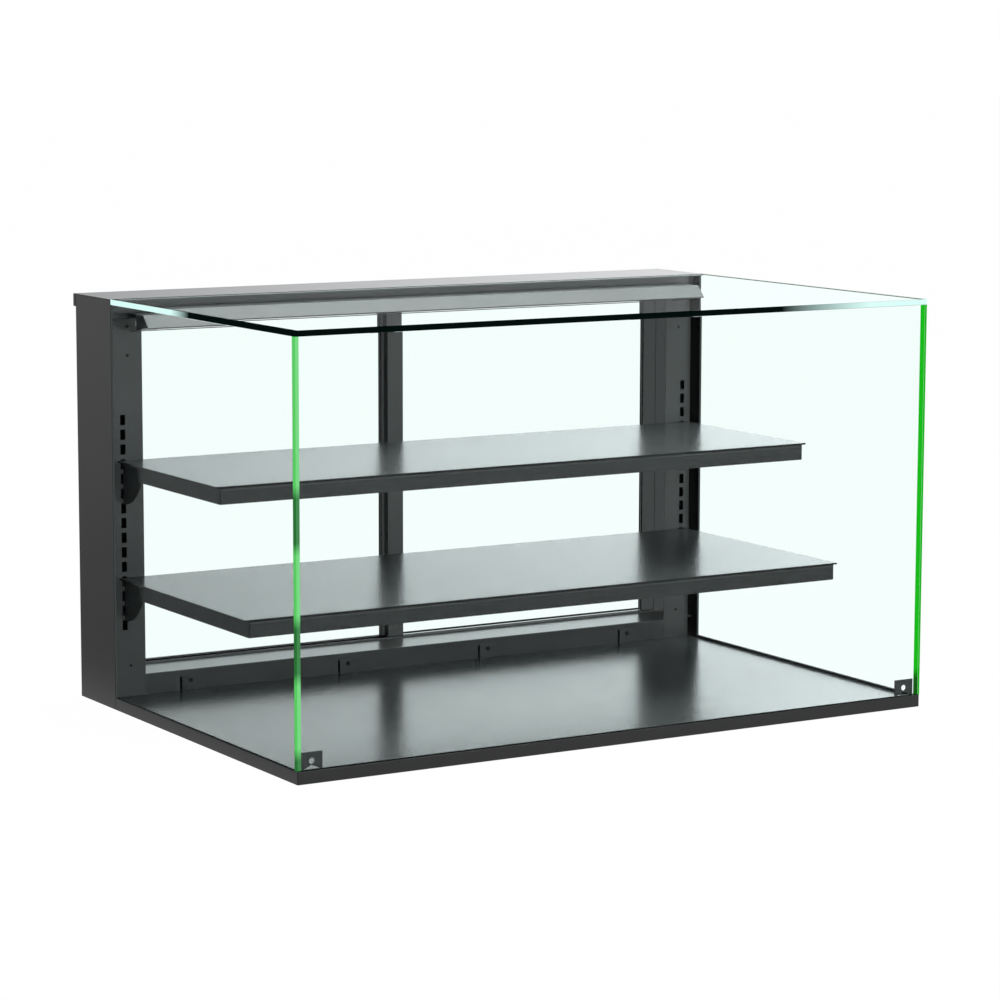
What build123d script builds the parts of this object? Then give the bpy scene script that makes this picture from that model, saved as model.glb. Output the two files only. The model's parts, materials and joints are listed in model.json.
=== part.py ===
from build123d import *
import math
import os

# Countertop bakery display case: a glass box on a shallow steel tray, with a steel rear housing
# that carries slotted shelf standards, an LED light hood and two bypass sliding glass doors.
#
# Millimetres, +Z up, front glass facing -Y, origin at the bottom centre of the bounding box.
# "inset" is a distance in from the outer face of a side, "depth" a distance back from the front.

# ---- Overall size -----------------------------------------------------------------------
WIDTH = 1213.0
HEIGHT = 708.0
BODY_DEPTH = 819.0
CAP_OVERHANG = 9.0
HOUSING_DEPTH = 673.5
HALF_WIDTH = WIDTH / 2
FRONT_Y = -(BODY_DEPTH + CAP_OVERHANG) / 2

# ---- Sheet metal, glass and general clearances --------------------------------------------
SHEET = 1.5
BEND_RADIUS = 2.0
THIN_SHEET = 1.2
HAIRLINE = 0.2
GAP = 0.3
GLASS = 9.5
GLASS_ARRIS = 0.6

# ---- Base tray ------------------------------------------------------------------------------
FEET_PROUD = 1.0
BAND_TOP = 21.2
LIP_INSET = 10.0
LIP_TOP = 23.0
DECK_TOP = 18.2
DECK_FLANGE = 14.5
MITRE_REACH = 40.0
CORNER_RADIUS = 2.0
FOOT_DIAMETER = 15.0
FRONT_FEET_DEPTHS = (60.0, 640.0)
SIDE_FOOT_INSET = 18.5
REAR_FOOT_INSET = 60.0
REAR_FOOT_DEPTH = 785.0
GASKET_INSET = 0.5
GASKET_THICK = 0.8
PANE_BOTTOM = BAND_TOP + GASKET_THICK
PANE_TOP = HEIGHT - GLASS
RAIL_INSIDE = LIP_INSET + SHEET

# ---- Corner clips behind the front glass ----------------------------------------------------
CLIP_INSET = GLASS + HAIRLINE
CLIP_WIDTH = 38.3
CLIP_FOOT_TOP = LIP_TOP + HAIRLINE
CLIP_TOP = 50.0
CLIP_HOLE_DIAMETER = 10.0
CLIP_HOLE_Z = 35.5
CLIP_NOTCH_HALF = 14.0
CLIP_NOTCH_APEX = 29.2
CLIP_CORNER = 0.8

# ---- Rear posts and slotted standards ---------------------------------------------------------
POST_REAR_FLANGE = 20.0
CAP_FLANGE = 22.0
POST_TOP = HEIGHT - SHEET - HAIRLINE
STANDARD_DEPTH = 693.0
STANDARD_OUTER = 17.5
STANDARD_INNER = 72.3
STANDARD_RETURN = 15.0
STANDARD_REAR_REACH = 60.0
HEADER_BOTTOM = 672.0
SLOT_INSET = 34.8
SLOT_WIDTH = 9.5
SLOT_HEIGHT = 18.0
SLOT_CORNER = 1.0
SLOT_PITCH = 25.4
SLOT_COUNT = 15
TOP_SLOT_Z = 499.0
PILOT_INSET = 45.1
PILOT_DIAMETER = 5.0
PILOT_HEIGHTS = (71.6, 609.0, 659.0)

# ---- Rear sill, its upstands and the cover behind it ------------------------------------------
SILL_TOP = 54.5
SILL_REAR = BODY_DEPTH - SHEET - HAIRLINE
SILL_REAR_FLANGE = 14.5
UPSTAND_WIDTH = 33.0
UPSTAND_TOP = 43.0
UPSTAND_RELIEF = 3.5
UPSTAND_CENTRES = (-449.0, -145.0, 146.0, 451.0)
SCREW_HOLE = 4.2
SCREW_SHANK = 4.0
SCREW_HEAD = 8.0
SCREW_HEAD_HEIGHT = 2.2
SCREW_SOCKET = 2.5
SCREW_LENGTH = 12.0
SILL_SCREW_Z = 35.5
COVER_SCREW_Z = 46.5
COVER_SCREW_HALF_SPANS = (195.0, 560.0)

# ---- Top cap, header and glass ledge ------------------------------------------------------------
CAP_FRONT_FLANGE = GLASS - HAIRLINE
HEADER_FRONT = 691.5
HEADER_REAR = 817.0
HEADER_INSET = 9.7
LEDGE_REACH = 12.0
LEDGE_LEG = 14.5

# ---- Light hood and LED bar -----------------------------------------------------------------------
HOOD_INSET = 44.5
HOOD_TOP = 682.5
HOOD_BREAK_DEPTH = 626.3
HOOD_NOSE_DEPTH = 604.7
HOOD_NOSE_Z = 661.3
HOOD_REAR_DEPTH = 678.0
HOOD_REAR_Z = 650.8
HOOD_FIXING_BOTTOM = 673.0
HOOD_WINDOW_FRONT = 626.0
HOOD_WINDOW_REAR = 670.0
HOOD_WINDOW_MARGIN = 30.0
END_CAP_REAR = 654.6
LED_FRONT = 646.0
LED_WIDTH = 17.0
LED_BOTTOM = 662.0
LED_HEIGHT = 9.0
LED_WALL = 1.2
LED_END_GAP = 2.0
LED_END_CAP = 3.0
LED_BOARD_WIDTH = 12.0
LED_CLIP_LENGTH = 14.0
LED_CLIP_COUNT = 5
LED_CLIP_MARGIN = 60.0

# ---- Sliding doors, tracks and jambs ----------------------------------------------------------------
TRACK_FRONT = 776.0
TRACK_REAR = 814.0
TRACK_LIP = 3.2
TRACK_MIDDLE = (TRACK_FRONT + TRACK_REAR) / 2
UPPER_TRACK_LIP = 12.0
JAMB_INSET = 32.0
JAMB_LIP = 8.0
TRACK_INSET = JAMB_INSET + JAMB_LIP + 0.5
JAMB_OUTER_INSET = SHEET + HAIRLINE
STILE_WIDTH = 32.0
STILE_DEPTH = 14.0
STILE_EDGE = 0.8
DOOR_INSET = 34.3
DOOR_OVERLAP = 29.0
DOOR_BOTTOM = 58.6
DOOR_TOP = 666.0
DOOR_GLASS = 5.0
GLASS_GROOVE = 5.4
GLASS_GROOVE_DEEP = 9.0
GLASS_ENGAGED = 8.0
FINGER_GROOVE_START = 8.0
FINGER_GROOVE_WIDTH = 16.0
FINGER_GROOVE_DEEP = 3.2
GLIDE_LENGTH = 24.0
GLIDE_WIDTH = 15.6
BUMPER_DIAMETER = 10.0
BUMPER_THICK = 2.0
BUMPER_HEIGHTS = (130.0, 590.0)

# ---- Shelves and brackets ------------------------------------------------------------------------------
SHELF_INSET = 24.5
SHELF_LIP = 3.0
SHELF_LIP_WIDTH = 6.6
SHELF_DROP = 29.9
SHELF_REAR = STANDARD_DEPTH - 0.6
SHELF_ABOVE_SLOT = 6.6
SKIRT_INSET = 31.5
SIDE_SKIRT = 2.5
FRONT_SKIRT_SETBACK = 0.8
SKIRT_RETURN = 13.0
SKIRT_CORNER = 2.5
REAR_SKIRT_INSET = 39.0
REAR_SKIRT_DROP = 22.0
ARCH_DEPTH = 625.0
ARCH_TOP_DROP = 5.7
ARCH_RADIUS = 14.0
UPPER_HOOK_SLOT = 3
LOWER_HOOK_SLOT = 11
UPPER_SHELF_FRONT = 312.7
LOWER_SHELF_FRONT = 213.3
BRACKET_INSET = 34.4
BRACKET_THICK = 2.5
BRACKET_SETBACK = 40.0
BRACKET_NOSE_RISE = 12.0
GUSSET_RADIUS = 74.0
GUSSET_FILLET = 22.0
POCKET_DEEP = 1.2
POCKET_RIM = 5.5
POCKET_TOP_DROP = 3.4
POCKET_CORNER = 12.0
HOOK_COUNT = 3
HOOK_TOP = 0.5
HOOK_DROP = 15.0
HOOK_TAB = 2.5

# ---- Electrical pieces in the rear box ---------------------------------------------------------------------
DRIVER_SIZE = (150.0, 42.0, 24.0)
DRIVER_CENTRE = (-250.0, 735.0)
DRIVER_EAR = 12.0
DRIVER_EAR_THICK = 2.0
DRIVER_CORNER = 2.0
DRIVER_EAR_HOLE = 4.0
INLET_X = 430.0
SWITCH_X = 370.0
SERVICE_Z = 29.2
INLET_FLANGE = (31.0, 24.0, 2.5)
INLET_BODY = (27.0, 19.5, 18.0)
INLET_CAVITY = (24.0, 16.5, 15.0)
INLET_PIN = (2.0, 4.0, 12.0)
INLET_PIN_SPAN = 7.0
INLET_PIN_DROP = 2.0
INLET_EARTH_RISE = 4.0
INLET_CORNER = 2.0
SWITCH_FLANGE = (15.0, 21.0, 2.0)
SWITCH_BODY = (12.6, 19.0, 14.0)
SWITCH_CAVITY = (10.6, 16.6, 9.0)
ROCKER_WIDTH = 10.0
ROCKER_HALF_LENGTH = 7.2
ROCKER_PROUD = 1.6
ROCKER_WAIST = 0.6
ROCKER_KEEL = 3.4
ROCKER_PIVOT_IN = 3.0
ROCKER_PIN_RADIUS = 1.0
ROCKER_PIN_CLEARANCE = 0.06
ROCKER_PIN_LENGTH = 0.8
ROCKER_TILT = 8.0


# ---- Helpers ------------------------------------------------------------------------------------------------
def y_at(depth):
    """Row Y of a distance back from the front glass."""
    return FRONT_Y + depth


def left_x(inset):
    """Row X of a distance in from the left outer face."""
    return -HALF_WIDTH + inset


def block(x_span, depth_span, z_span):
    """Rectangular solid between three pairs of limits."""
    size = [span[1] - span[0] for span in (x_span, depth_span, z_span)]
    corner = (x_span[0], y_at(depth_span[0]), z_span[0])
    return Pos(*corner) * Box(*size, align=(Align.MIN, Align.MIN, Align.MIN))


def mirrored(shape):
    """The right-hand twin of a left-hand piece."""
    return mirror(shape, about=Plane.YZ)


def along_x(face, x_start, x_end):
    """Extrude a (Y, Z) outline along X."""
    return extrude(Plane.YZ.offset(x_start) * face, x_end - x_start)


def along_y(face, depth_start, depth_end):
    """Extrude an (X, Z) outline along Y."""
    return extrude(Plane.XZ.offset(-y_at(depth_end)) * face, depth_end - depth_start)


def along_z(face, z_start, z_end):
    """Extrude an (X, Y) outline along Z."""
    return extrude(Plane.XY.offset(z_start) * face, z_end - z_start)


def outline(points):
    """Closed polygon through a list of corners."""
    return make_face(Polyline(*points, close=True))


def bent_sheet(points, thickness, side, radius=BEND_RADIUS):
    """Outline of a folded sheet whose given skin runs through the points."""
    skin = FilletPolyline(*points, radius=radius)
    return make_face(offset(skin, amount=thickness, side=side, closed=True))


def depth_points(points):
    """Turn (depth, Z) corners into (Y, Z) corners."""
    return [(y_at(depth), z) for depth, z in points]


def plan_points(points):
    """Turn (inset from the left, depth) corners into (X, Y) corners."""
    return [(left_x(inset), y_at(depth)) for inset, depth in points]


def disc_along_y(radius, x, z, depth_start, depth_end):
    """Cylinder along Y, used for screws and their holes."""
    return along_y(Pos(x, z) * Circle(radius), depth_start, depth_end)


def disc_along_x(radius, depth, z, x_start, x_end):
    """Cylinder along X, used for pins and bumpers."""
    return along_x(Pos(y_at(depth), z) * Circle(radius), x_start, x_end)


def save(shape, node):
    """Write one node's STEP file."""
    export_step(shape, f"parts/{node}.step")


def save_pair(shape, node):
    """Write a left piece and its mirrored right piece."""
    save(shape, f"{node}_left")
    save(mirrored(shape), f"{node}_right")


def save_group(solids, node):
    """Write several separate solids as one node."""
    save(Compound(children=list(solids)), node)


# ---- Base tray -----------------------------------------------------------------------------------------------
def rail_outline():
    """Section of a base rail: outer band, glass rebate, inner wall and deck flange."""
    deck_bottom = DECK_TOP - SHEET
    skin = [
        (0, FEET_PROUD),
        (0, BAND_TOP),
        (RAIL_INSIDE, BAND_TOP),
        (RAIL_INSIDE, deck_bottom),
        (RAIL_INSIDE + DECK_FLANGE, deck_bottom),
    ]
    section = make_face(offset(Polyline(*skin), SHEET, side=Side.RIGHT, kind=Kind.INTERSECTION, closed=True))
    lip = Pos(LIP_INSET + SHEET / 2, (BAND_TOP + LIP_TOP) / 2) * Rectangle(SHEET, LIP_TOP - BAND_TOP)
    return section + lip


def rounded_plan():
    """Plan outline of the whole tray, which rounds the mitred front corners."""
    plan = Pos(0, y_at(BODY_DEPTH / 2)) * Rectangle(WIDTH, BODY_DEPTH)
    return along_z(fillet(plan.vertices(), CORNER_RADIUS), 0, HEIGHT)


def mitre_block(points):
    """Upright prism that trims a rail to its mitres."""
    return along_z(outline(points), 0, HEIGHT)


def front_rail():
    section = Plane.YZ.offset(-HALF_WIDTH) * (Pos(FRONT_Y, 0) * rail_outline())
    reach = FRONT_Y + MITRE_REACH
    keep = [
        (-HALF_WIDTH, FRONT_Y),
        (HALF_WIDTH, FRONT_Y),
        (HALF_WIDTH - MITRE_REACH, reach),
        (-HALF_WIDTH + MITRE_REACH, reach),
    ]
    return extrude(section, WIDTH) & mitre_block(keep) & rounded_plan()


def side_rail():
    rail = along_y(Pos(-HALF_WIDTH, 0) * rail_outline(), 0, HOUSING_DEPTH)
    keep = [
        (-HALF_WIDTH, FRONT_Y),
        (left_x(MITRE_REACH), FRONT_Y + MITRE_REACH),
        (left_x(MITRE_REACH), y_at(HOUSING_DEPTH)),
        (-HALF_WIDTH, y_at(HOUSING_DEPTH)),
    ]
    return rail & mitre_block(keep) & rounded_plan()


def deck_panel():
    half = HALF_WIDTH - RAIL_INSIDE
    return block((-half, half), (RAIL_INSIDE, SILL_REAR), (DECK_TOP - SHEET, DECK_TOP))


def rubber_feet():
    flange_bottom = DECK_TOP - 2 * SHEET
    spots = [(SIDE_FOOT_INSET, depth, flange_bottom) for depth in FRONT_FEET_DEPTHS]
    spots.append((REAR_FOOT_INSET, REAR_FOOT_DEPTH, DECK_TOP - SHEET))
    feet = []
    for inset, depth, top in spots:
        foot = along_z(Pos(left_x(inset), y_at(depth)) * Circle(FOOT_DIAMETER / 2), 0, top)
        foot = chamfer(foot.edges().group_by(Axis.Z)[0], 1.0)
        feet += [foot, mirrored(foot)]
    return feet


def glazing_gasket():
    span_z = (BAND_TOP, PANE_BOTTOM)
    half = HALF_WIDTH - GASKET_INSET
    edge = (GASKET_INSET, GLASS - GASKET_INSET)
    front = block((-half, half), edge, span_z)
    side = block((left_x(edge[0]), left_x(edge[1])), (GLASS, HOUSING_DEPTH - GASKET_INSET), span_z)
    return [front, side, mirrored(side)]


def corner_clip():
    """Upright tab with a round hole and a relief notch, behind each end of the front glass."""
    middle = left_x(CLIP_INSET) + CLIP_WIDTH / 2
    plate = outline([
        (left_x(RAIL_INSIDE), DECK_TOP),
        (left_x(RAIL_INSIDE), CLIP_FOOT_TOP),
        (left_x(CLIP_INSET), CLIP_FOOT_TOP),
        (left_x(CLIP_INSET), CLIP_TOP),
        (left_x(CLIP_INSET + CLIP_WIDTH), CLIP_TOP),
        (left_x(CLIP_INSET + CLIP_WIDTH), DECK_TOP),
    ])
    plate = fillet(plate.vertices().group_by(Axis.Y)[-1], CLIP_CORNER)
    notch = outline([
        (middle - CLIP_NOTCH_HALF, DECK_TOP),
        (middle - CLIP_NOTCH_HALF, LIP_TOP),
        (middle, CLIP_NOTCH_APEX),
        (middle + CLIP_NOTCH_HALF, LIP_TOP),
        (middle + CLIP_NOTCH_HALF, DECK_TOP),
    ])
    hole = Pos(middle, CLIP_HOLE_Z) * Circle(CLIP_HOLE_DIAMETER / 2)
    return along_y(plate - notch - hole, RAIL_INSIDE, RAIL_INSIDE + SHEET)


# ---- Glass ---------------------------------------------------------------------------------------------------
def pane(x_span, depth_span, z_span):
    """Plate of glass with its edges lightly ground."""
    plate = block(x_span, depth_span, z_span)
    return chamfer(plate.edges(), GLASS_ARRIS)


def front_glass():
    return pane((-HALF_WIDTH, HALF_WIDTH), (0, GLASS), (PANE_BOTTOM, PANE_TOP))


def side_glass():
    span_x = (left_x(0), left_x(GLASS))
    return pane(span_x, (GLASS, HOUSING_DEPTH - HAIRLINE), (PANE_BOTTOM, PANE_TOP))


def top_glass():
    return pane((-HALF_WIDTH, HALF_WIDTH), (0, HOUSING_DEPTH - HAIRLINE), (PANE_TOP, HEIGHT))


# ---- Rear posts, standards and sill ------------------------------------------------------------------------
def rear_post():
    """Folded side post: rear flange, outer wall, front edge and inner wall."""
    skin = plan_points([
        (POST_REAR_FLANGE, BODY_DEPTH),
        (0, BODY_DEPTH),
        (0, HOUSING_DEPTH),
        (GLASS, HOUSING_DEPTH),
        (GLASS, STANDARD_DEPTH),
    ])
    return along_z(bent_sheet(skin, SHEET, Side.LEFT), FEET_PROUD, POST_TOP)


def standard_openings():
    """Hook slots and pilot holes, as one flat pattern."""
    slot = RectangleRounded(SLOT_WIDTH, SLOT_HEIGHT, SLOT_CORNER)
    slots = [Pos(left_x(SLOT_INSET), TOP_SLOT_Z - SLOT_PITCH * k) * slot for k in range(SLOT_COUNT)]
    pilots = [Pos(left_x(PILOT_INSET), z) * Circle(PILOT_DIAMETER / 2) for z in PILOT_HEIGHTS]
    return slots + pilots


def slotted_standard():
    """Shelf standard: a slotted front panel, folded back at its outer side into a shallow channel."""
    top = HEADER_BOTTOM - HAIRLINE
    panel_x = (left_x(STANDARD_OUTER), left_x(STANDARD_INNER))
    panel = block(panel_x, (STANDARD_DEPTH, STANDARD_DEPTH + SHEET), (DECK_TOP, top))
    for opening in standard_openings():
        panel -= along_y(opening, STANDARD_DEPTH - SHEET, STANDARD_DEPTH + 2 * SHEET)
    rear = STANDARD_DEPTH + STANDARD_RETURN
    folded_z = (SILL_TOP + HAIRLINE, top)
    flange_x = (left_x(STANDARD_OUTER), left_x(STANDARD_OUTER + SHEET))
    flange = block(flange_x, (STANDARD_DEPTH, rear), folded_z)
    backing_x = (left_x(STANDARD_OUTER), left_x(STANDARD_REAR_REACH))
    return panel + flange + block(backing_x, (rear - SHEET, rear), folded_z)


def rear_sill():
    """Skirt facing the deck, relieved beside each upstand, ledge over the rear box, and a rear flange."""
    skin = depth_points([
        (STANDARD_DEPTH, DECK_TOP),
        (STANDARD_DEPTH, SILL_TOP),
        (SILL_REAR, SILL_TOP),
        (SILL_REAR, SILL_TOP - SILL_REAR_FLANGE),
    ])
    half = HALF_WIDTH - STANDARD_INNER - HAIRLINE
    sill = along_x(bent_sheet(skin, SHEET, Side.RIGHT), -half, half)
    wing_x = (left_x(SHEET + HAIRLINE), -half)
    wing_depth = (STANDARD_DEPTH + SHEET + HAIRLINE, SILL_REAR)
    wing = block(wing_x, wing_depth, (SILL_TOP - SHEET, SILL_TOP))
    sill = sill + wing + mirrored(wing)
    for x in UPSTAND_CENTRES:
        sill -= disc_along_y(SCREW_HOLE / 2, x, SILL_SCREW_Z, STANDARD_DEPTH - 1, STANDARD_DEPTH + 3)
        relief_end = x - UPSTAND_WIDTH / 2
        relief_x = (relief_end - UPSTAND_RELIEF, relief_end)
        sill -= block(relief_x, (STANDARD_DEPTH - 1, STANDARD_DEPTH + 3), (DECK_TOP, UPSTAND_TOP))
    for x in cover_screw_positions():
        sill -= disc_along_y(SCREW_HOLE / 2, x, COVER_SCREW_Z, SILL_REAR - 3, SILL_REAR + 1)
    return sill


def deck_upstands():
    """Tabs turned up from the deck, which the sill is screwed to."""
    depth_span = (STANDARD_DEPTH - SHEET, STANDARD_DEPTH)
    tabs = []
    for x in UPSTAND_CENTRES:
        half = UPSTAND_WIDTH / 2
        tab = block((x - half, x + half), depth_span, (DECK_TOP, UPSTAND_TOP))
        hole = disc_along_y(SCREW_HOLE / 2, x, SILL_SCREW_Z, depth_span[0] - 1, depth_span[1] + 1)
        tabs.append(tab - hole)
    return tabs


def button_screw(x, z, seat_depth, toward_rear):
    """Socket button-head screw along Y, with its head's seat at seat_depth."""
    sign = 1 if toward_rear else -1
    head_end = seat_depth - sign * SCREW_HEAD_HEIGHT
    shank_end = seat_depth + sign * SCREW_LENGTH
    head = disc_along_y(SCREW_HEAD / 2, x, z, *sorted((head_end, seat_depth)))
    crown = head.edges().group_by(Axis.Y)[0 if toward_rear else -1]
    head = fillet(crown, SCREW_HEAD_HEIGHT * 0.6)
    socket = Pos(x, z) * RegularPolygon(SCREW_SOCKET / 2, 6, major_radius=False)
    socket_end = head_end + sign * SCREW_HEAD_HEIGHT * 0.55
    head -= along_y(socket, *sorted((head_end, socket_end)))
    return head + disc_along_y(SCREW_SHANK / 2, x, z, *sorted((seat_depth, shank_end)))


def sill_screws():
    seat = STANDARD_DEPTH - SHEET
    return [button_screw(x, SILL_SCREW_Z, seat, True) for x in UPSTAND_CENTRES]


def cover_screw_positions():
    return [sign * half for half in COVER_SCREW_HALF_SPANS for sign in (-1, 1)]


def cover_screws():
    return [button_screw(x, COVER_SCREW_Z, BODY_DEPTH, False) for x in cover_screw_positions()]


def rear_cover():
    """Flat cover that closes the rear box, with cut-outs for the inlet and the switch."""
    half = HALF_WIDTH - POST_REAR_FLANGE - HAIRLINE
    depth_span = (BODY_DEPTH - SHEET, BODY_DEPTH)
    cover = block((-half, half), depth_span, (FEET_PROUD, SILL_TOP - HAIRLINE))
    for x, body in ((INLET_X, INLET_BODY), (SWITCH_X, SWITCH_BODY)):
        cut = Pos(x, SERVICE_Z) * Rectangle(body[0] + 2 * GAP, body[1] + 2 * GAP)
        cover -= along_y(cut, depth_span[0] - 1, depth_span[1] + 1)
    for x in cover_screw_positions():
        cover -= disc_along_y(SCREW_HOLE / 2, x, COVER_SCREW_Z, depth_span[0] - 1, depth_span[1] + 1)
    return cover


# ---- Cap and header ------------------------------------------------------------------------------------------
def top_cap():
    """Cover over the rear housing, turned down at the front between the posts and at the rear."""
    rear = BODY_DEPTH + CAP_OVERHANG
    skin = depth_points([
        (HOUSING_DEPTH, HEIGHT),
        (rear, HEIGHT),
        (rear, HEIGHT - CAP_FLANGE),
    ])
    cap = along_x(bent_sheet(skin, SHEET, Side.RIGHT), -HALF_WIDTH, HALF_WIDTH)
    front_half = HALF_WIDTH - HEADER_INSET
    front_depth = (HOUSING_DEPTH, HOUSING_DEPTH + SHEET)
    cap += block((-front_half, front_half), front_depth, (HEIGHT - CAP_FRONT_FLANGE, HEIGHT - SHEET))
    cheek_depth = (BODY_DEPTH + HAIRLINE, rear - SHEET)
    cheek = block((left_x(0), left_x(SHEET)), cheek_depth, (HEIGHT - CAP_FLANGE, HEIGHT - SHEET))
    return cap + cheek + mirrored(cheek)


def header_channel():
    """Open-topped channel across the top of the rear opening."""
    top = HEIGHT - SHEET - HAIRLINE
    skin = depth_points([
        (HEADER_FRONT, top),
        (HEADER_FRONT, HEADER_BOTTOM),
        (HEADER_REAR, HEADER_BOTTOM),
        (HEADER_REAR, top),
    ])
    half = HALF_WIDTH - HEADER_INSET
    return along_x(bent_sheet(skin, SHEET, Side.LEFT), -half, half)


def glass_ledge():
    """Angle on the header that carries the rear edge of the top glass."""
    skin = depth_points([
        (HOUSING_DEPTH - LEDGE_REACH, PANE_TOP),
        (HEADER_FRONT, PANE_TOP),
        (HEADER_FRONT, PANE_TOP - LEDGE_LEG),
    ])
    half = HALF_WIDTH - HEADER_INSET
    return along_x(bent_sheet(skin, SHEET, Side.RIGHT), -half, half)


# ---- Light hood -------------------------------------------------------------------------------------------------
def light_hood():
    """Folded hood under the header: top flange, sloped front and a floor with a light window."""
    skin = depth_points([
        (HEADER_FRONT, HOOD_FIXING_BOTTOM),
        (HEADER_FRONT, HOOD_TOP),
        (HOOD_BREAK_DEPTH, HOOD_TOP),
        (HOOD_NOSE_DEPTH, HOOD_NOSE_Z),
        (HOOD_REAR_DEPTH, HOOD_REAR_Z),
    ])
    half = HALF_WIDTH - HOOD_INSET
    hood = along_x(bent_sheet(skin, THIN_SHEET, Side.LEFT, radius=THIN_SHEET), -half, half)
    window_half = half - HOOD_WINDOW_MARGIN
    window_z = (HOOD_REAR_Z - THIN_SHEET, HOOD_NOSE_Z - THIN_SHEET)
    window_depth = (HOOD_WINDOW_FRONT, HOOD_WINDOW_REAR)
    return hood - block((-window_half, window_half), window_depth, window_z)


def hood_end_cap():
    """Plate that closes one end of the hood."""
    floor_slope = (HOOD_NOSE_Z - HOOD_REAR_Z) / (HOOD_REAR_DEPTH - HOOD_NOSE_DEPTH)
    inside_top = HOOD_TOP - THIN_SHEET - HAIRLINE
    floor_lift = THIN_SHEET + 2 * HAIRLINE
    nose_depth = HOOD_NOSE_DEPTH + 3 * THIN_SHEET
    nose_z = HOOD_NOSE_Z - floor_slope * (nose_depth - HOOD_NOSE_DEPTH) + floor_lift
    rear_z = HOOD_NOSE_Z - floor_slope * (END_CAP_REAR - HOOD_NOSE_DEPTH) + floor_lift
    plate = outline(depth_points([
        (END_CAP_REAR, inside_top),
        (HOOD_BREAK_DEPTH + THIN_SHEET, inside_top),
        (nose_depth, nose_z),
        (END_CAP_REAR, rear_z),
    ]))
    start = left_x(HOOD_INSET)
    return along_x(plate, start, start + THIN_SHEET)


def led_span():
    """Half length of the LED channel between its end caps."""
    return HALF_WIDTH - HOOD_INSET - THIN_SHEET - LED_END_GAP - LED_END_CAP


def led_channel():
    """Aluminium channel, open below, that holds the LED board."""
    half = led_span()
    top = LED_BOTTOM + LED_HEIGHT
    body = block((-half, half), (LED_FRONT, LED_FRONT + LED_WIDTH), (LED_BOTTOM, top))
    cavity_depth = (LED_FRONT + LED_WALL, LED_FRONT + LED_WIDTH - LED_WALL)
    return body - block((-half, half), cavity_depth, (LED_BOTTOM, top - LED_WALL))


def led_board():
    half = led_span() - LED_END_CAP
    middle = LED_FRONT + LED_WIDTH / 2
    top = LED_BOTTOM + LED_HEIGHT - LED_WALL
    depth_span = (middle - LED_BOARD_WIDTH / 2, middle + LED_BOARD_WIDTH / 2)
    return block((-half, half), depth_span, (top - SHEET, top))


def led_diffuser():
    """Shallow domed strip that closes the LED channel."""
    half = led_span()
    inside = LED_WIDTH / 2 - LED_WALL
    middle = y_at(LED_FRONT + LED_WIDTH / 2)
    arc = ThreePointArc(
        (middle - inside, LED_BOTTOM + LED_WALL),
        (middle, LED_BOTTOM - LED_WALL),
        (middle + inside, LED_BOTTOM + LED_WALL),
    )
    lid = Line((middle + inside, LED_BOTTOM + LED_WALL), (middle - inside, LED_BOTTOM + LED_WALL))
    return along_x(make_face([arc, lid]), -half, half)


def led_end_caps():
    start = -led_span() - LED_END_CAP
    depth_span = (LED_FRONT, LED_FRONT + LED_WIDTH)
    cap = block((start, -led_span()), depth_span, (LED_BOTTOM, LED_BOTTOM + LED_HEIGHT))
    cap = fillet(cap.edges().filter_by(Axis.X), 1.0)
    return [cap, mirrored(cap)]


def led_clips():
    """Hangers between the hood's top flange and the LED channel."""
    reach = led_span() - LED_CLIP_MARGIN
    top = HOOD_TOP - THIN_SHEET
    bottom = LED_BOTTOM + LED_HEIGHT
    skin = depth_points([
        (LED_FRONT + LED_WALL, bottom),
        (LED_FRONT + LED_WIDTH / 2, bottom),
        (LED_FRONT + LED_WIDTH / 2, top),
        (LED_FRONT + LED_WIDTH, top),
    ])
    section = outline_of_hanger(skin)
    clips = []
    for step in range(LED_CLIP_COUNT):
        middle = -reach + 2 * reach * step / (LED_CLIP_COUNT - 1)
        clips.append(along_x(section, middle - LED_CLIP_LENGTH / 2, middle + LED_CLIP_LENGTH / 2))
    return clips


def outline_of_hanger(corners):
    """Z-shaped section: a foot on the channel, a web, and a foot under the flange."""
    (foot_y, bottom), (web_y, _), (_, top), (end_y, _) = corners
    web_end = web_y + LED_WALL
    return outline([
        (foot_y, bottom),
        (web_end, bottom),
        (web_end, top - LED_WALL),
        (end_y, top - LED_WALL),
        (end_y, top),
        (web_y, top),
        (web_y, bottom + LED_WALL),
        (foot_y, bottom + LED_WALL),
    ])


# ---- Sliding doors ------------------------------------------------------------------------------------------------
def track_fins():
    """Depth spans of the three fins of a door track."""
    middle = TRACK_MIDDLE - SHEET / 2
    starts = (TRACK_FRONT, middle, TRACK_REAR - SHEET)
    return [(start, start + SHEET) for start in starts]


def door_track(base_span, fin_span):
    """Flat base with three fins, which makes two running channels."""
    x_span = (left_x(TRACK_INSET), -left_x(TRACK_INSET))
    track = block(x_span, (TRACK_FRONT, TRACK_REAR), base_span)
    for fin in track_fins():
        track += block(x_span, fin, fin_span)
    return track


def lower_track():
    base = (SILL_TOP, SILL_TOP + SHEET)
    return door_track(base, (SILL_TOP, SILL_TOP + TRACK_LIP))


def upper_track():
    base = (HEADER_BOTTOM - SHEET, HEADER_BOTTOM)
    return door_track(base, (HEADER_BOTTOM - UPPER_TRACK_LIP, HEADER_BOTTOM))


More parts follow.
